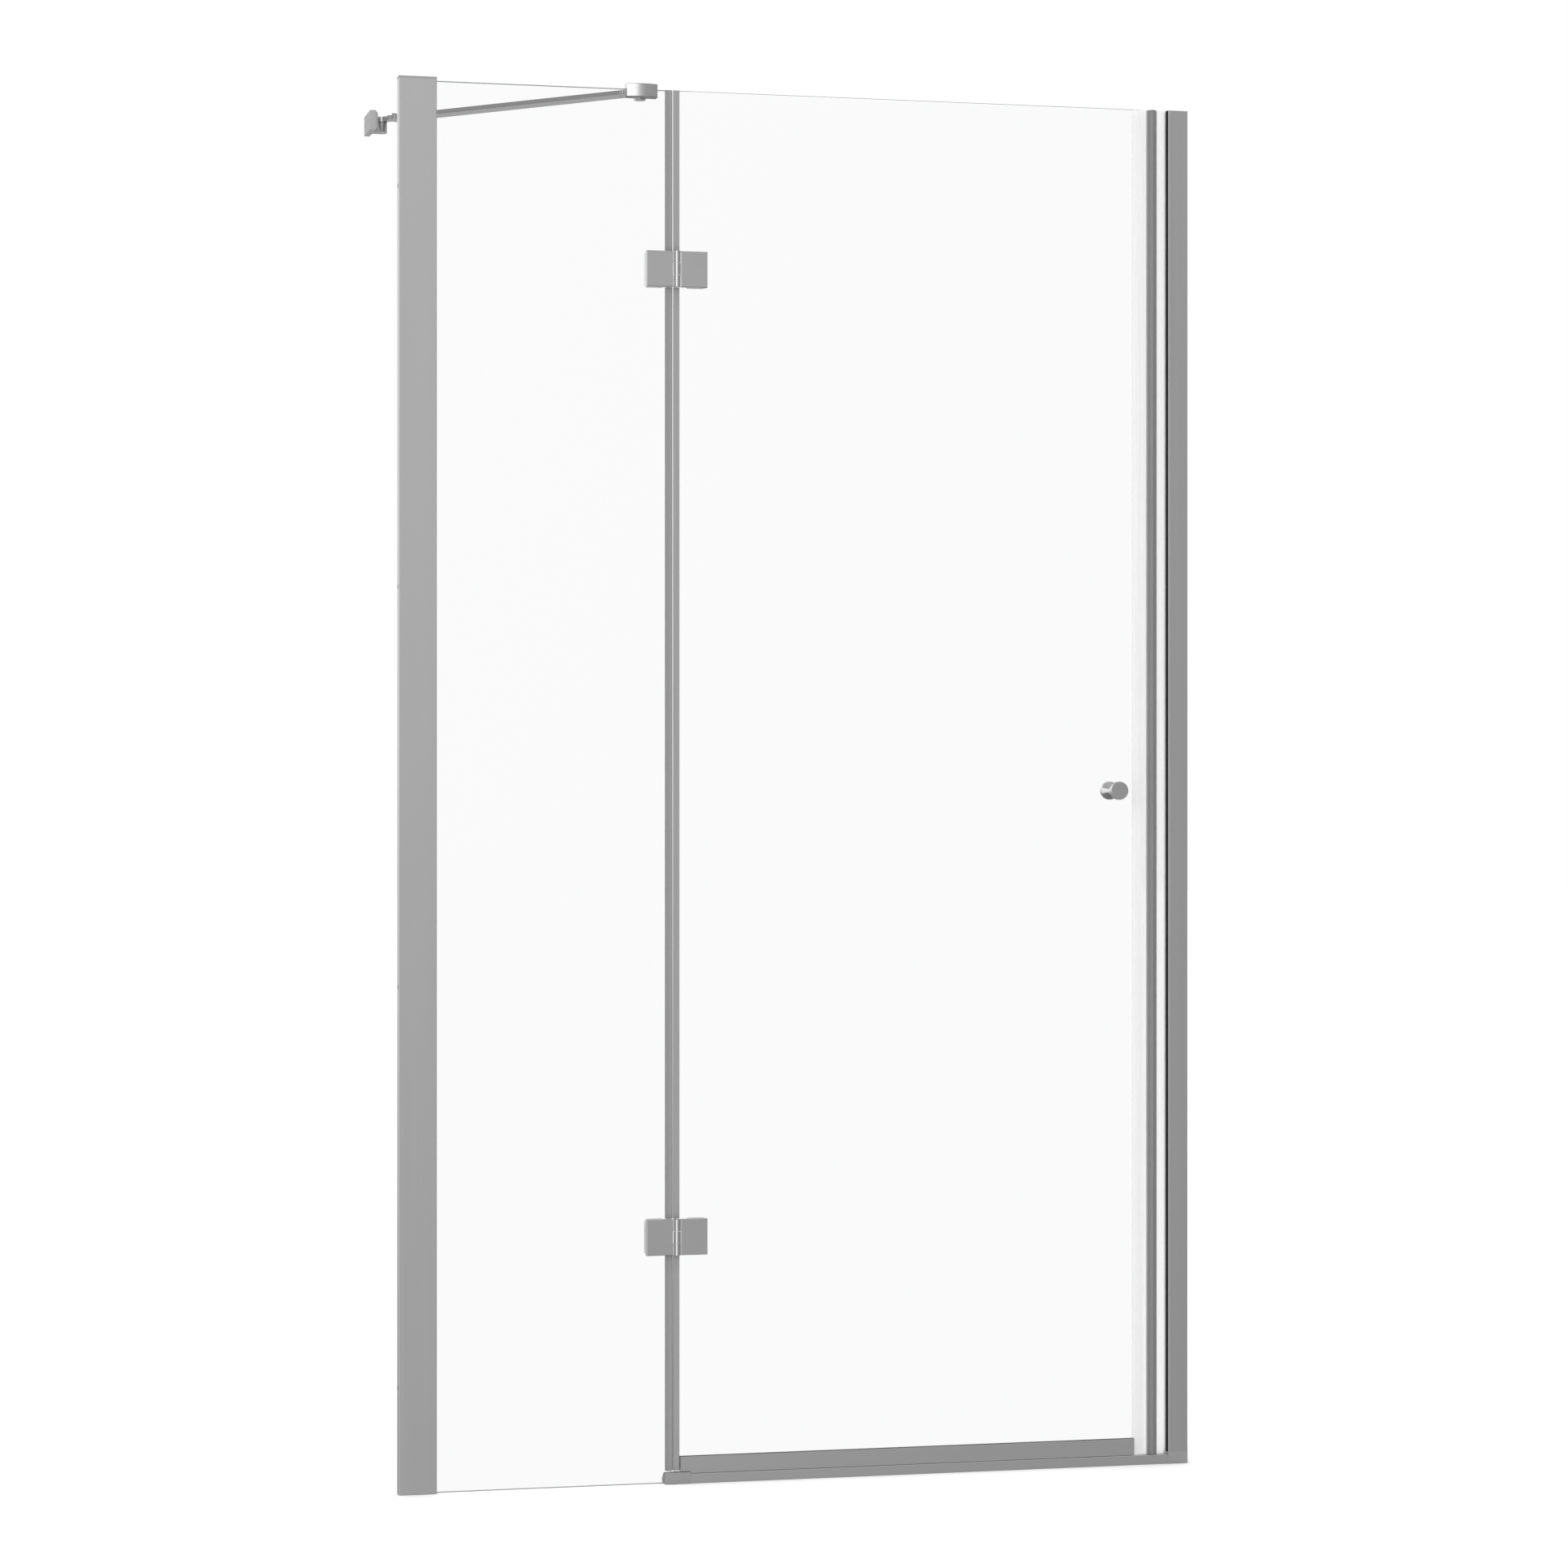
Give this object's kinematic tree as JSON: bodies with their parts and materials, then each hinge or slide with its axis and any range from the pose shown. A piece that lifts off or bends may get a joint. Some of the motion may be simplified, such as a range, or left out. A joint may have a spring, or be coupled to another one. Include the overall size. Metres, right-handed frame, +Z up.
{
  "type": "pivot shower door",
  "caption": "Frameless niche shower door: a fixed glass panel in a wall profile, a hinged glass door with knob and magnetic closing edge, a threshold and a top brace bar.",
  "frame": {"origin": "on the left wall at tray level, in the middle of the glass's thickness", "axes": "+X along the door from the left wall to the right wall, +Y from the room into the shower, +Z up"},
  "size_m": [1.17, 0.3971, 2.003],
  "materials": {
    "silver_profile": "bright silver anodised",
    "silver_cap": "smooth silver",
    "clear_glass": "clear, polished",
    "clear_seal": "translucent",
    "grey_seal": "smooth grey",
    "satin_fitting": "satin",
    "magnet_strip": "smooth grey",
    "dark_rubber": "matte",
    "clear_gasket": "matte",
    "chrome_fitting": "polished",
    "steel": "smooth",
    "bush": "smooth"
  },
  "bodies": {
    "fixed_side": {"left_wall_channel": "silver_profile", "left_cover_profile": "silver_profile", "left_top_cap": "silver_cap", "left_glazing_gasket": "clear_gasket", "left_profile_screws": "steel", "fixed_glass": "clear_glass", "fixed_edge_seal": "grey_seal", "upper_hinge_fixed_leaf": "chrome_fitting", "upper_hinge_fixed_clamp_plate": "chrome_fitting", "upper_hinge_fixed_pads": "clear_gasket", "upper_hinge_fixed_screws": "steel", "upper_hinge_pin": "steel", "lower_hinge_fixed_leaf": "chrome_fitting", "lower_hinge_fixed_clamp_plate": "chrome_fitting", "lower_hinge_fixed_pads": "clear_gasket", "lower_hinge_fixed_screws": "steel", "lower_hinge_pin": "steel", "brace_glass_clamp": "chrome_fitting", "brace_clamp_liner": "clear_gasket", "brace_clamp_grub_screws": "steel", "brace_glass_pivot": "chrome_fitting", "brace_glass_end": "chrome_fitting", "brace_bar": "chrome_fitting", "brace_bar_screws": "steel", "brace_wall_end": "chrome_fitting", "brace_wall_bracket": "satin_fitting", "brace_wall_pivot": "satin_fitting", "threshold_bar": "silver_profile", "threshold_left_end": "silver_cap", "threshold_right_end": "silver_cap", "right_wall_channel": "silver_profile", "right_cover_profile": "silver_profile", "right_top_plug": "silver_cap", "right_mouth_wedges": "dark_rubber", "right_profile_screws": "steel", "strike_seal": "clear_seal", "strike_magnet": "magnet_strip"},
    "door": {"door_glass": "clear_glass", "door_hinge_seal": "grey_seal", "door_drip_profile": "silver_profile", "door_drip_gasket": "clear_gasket", "door_drip_lip": "clear_seal", "door_magnet_seal": "clear_seal", "door_magnet": "magnet_strip", "knob_outer": "chrome_fitting", "knob_inner": "chrome_fitting", "knob_stud": "steel", "knob_washers": "clear_gasket", "upper_hinge_door_leaf": "chrome_fitting", "upper_hinge_door_clamp_plate": "chrome_fitting", "upper_hinge_door_pads": "clear_gasket", "upper_hinge_door_screws": "steel", "upper_hinge_bushes": "bush", "lower_hinge_door_leaf": "chrome_fitting", "lower_hinge_door_clamp_plate": "chrome_fitting", "lower_hinge_door_pads": "clear_gasket", "lower_hinge_door_screws": "steel", "lower_hinge_bushes": "bush"}
  },
  "joints": [
    {"name": "door_swing", "type": "hinge", "parent": "fixed_side", "child": "door", "pos_m": [0.4, -0.0095, 1.046], "axis": [0, 0, -1], "range_deg": [0, 120]}
  ]
}
